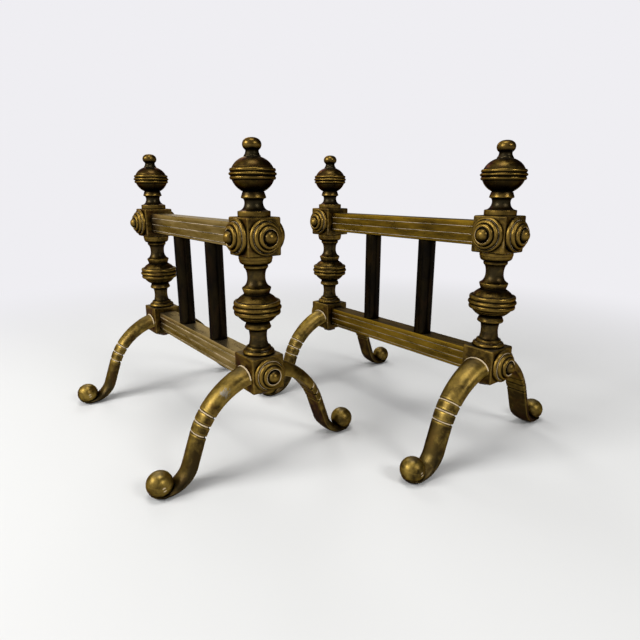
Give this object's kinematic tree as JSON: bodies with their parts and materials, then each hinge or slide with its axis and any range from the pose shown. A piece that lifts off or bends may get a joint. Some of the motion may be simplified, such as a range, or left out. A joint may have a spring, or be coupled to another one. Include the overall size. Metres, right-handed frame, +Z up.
{
  "type": "pair of andirons",
  "caption": "Matched pair of small antique brass fire dogs: turned posts, flat grooved rails with plain spindles, stepped roundels and scrolled legs.",
  "frame": {"origin": "on the floor, midway between the two andirons", "axes": "+Z up; the rails run along Y with the near ends at -Y; the legs spread along X"},
  "size_m": [0.3172, 0.3232, 0.2278],
  "materials": {
    "cast_brass": "aged cast brass, golden on the ridges and brown-black in the hollows",
    "turned_brass": "aged turned brass, darker in the necks",
    "rail_brass": "aged flat brass bar, greyish and streaked",
    "dark_brass": "smoke-darkened plain brass bar",
    "iron": "dull rusty iron"
  },
  "bodies": {
    "root": {"left_front_lower_block": "cast_brass", "left_front_column": "turned_brass", "left_front_upper_block": "cast_brass", "left_front_finial": "turned_brass", "left_front_tie_rod": "iron", "left_front_nut": "iron", "left_front_lower_end_roundel": "cast_brass", "left_front_upper_end_roundel": "cast_brass", "left_front_upper_outer_roundel": "cast_brass", "left_front_upper_inner_roundel": "cast_brass", "left_front_outer_leg": "cast_brass", "left_front_inner_leg": "cast_brass", "left_back_lower_block": "cast_brass", "left_back_column": "turned_brass", "left_back_upper_block": "cast_brass", "left_back_finial": "turned_brass", "left_back_tie_rod": "iron", "left_back_nut": "iron", "left_back_lower_end_roundel": "cast_brass", "left_back_upper_end_roundel": "cast_brass", "left_back_upper_outer_roundel": "cast_brass", "left_back_upper_inner_roundel": "cast_brass", "left_back_outer_leg": "cast_brass", "left_back_inner_leg": "cast_brass", "left_top_rail": "rail_brass", "left_bottom_rail": "rail_brass", "left_front_spindle": "dark_brass", "left_back_spindle": "dark_brass", "right_front_lower_block": "cast_brass", "right_front_column": "turned_brass", "right_front_upper_block": "cast_brass", "right_front_finial": "turned_brass", "right_front_tie_rod": "iron", "right_front_nut": "iron", "right_front_lower_end_roundel": "cast_brass", "right_front_upper_end_roundel": "cast_brass", "right_front_upper_outer_roundel": "cast_brass", "right_front_upper_inner_roundel": "cast_brass", "right_front_outer_leg": "cast_brass", "right_front_inner_leg": "cast_brass", "right_back_lower_block": "cast_brass", "right_back_column": "turned_brass", "right_back_upper_block": "cast_brass", "right_back_finial": "turned_brass", "right_back_tie_rod": "iron", "right_back_nut": "iron", "right_back_lower_end_roundel": "cast_brass", "right_back_upper_end_roundel": "cast_brass", "right_back_upper_outer_roundel": "cast_brass", "right_back_upper_inner_roundel": "cast_brass", "right_back_outer_leg": "cast_brass", "right_back_inner_leg": "cast_brass", "right_top_rail": "rail_brass", "right_bottom_rail": "rail_brass", "right_front_spindle": "dark_brass", "right_back_spindle": "dark_brass"}
  },
  "joints": []
}
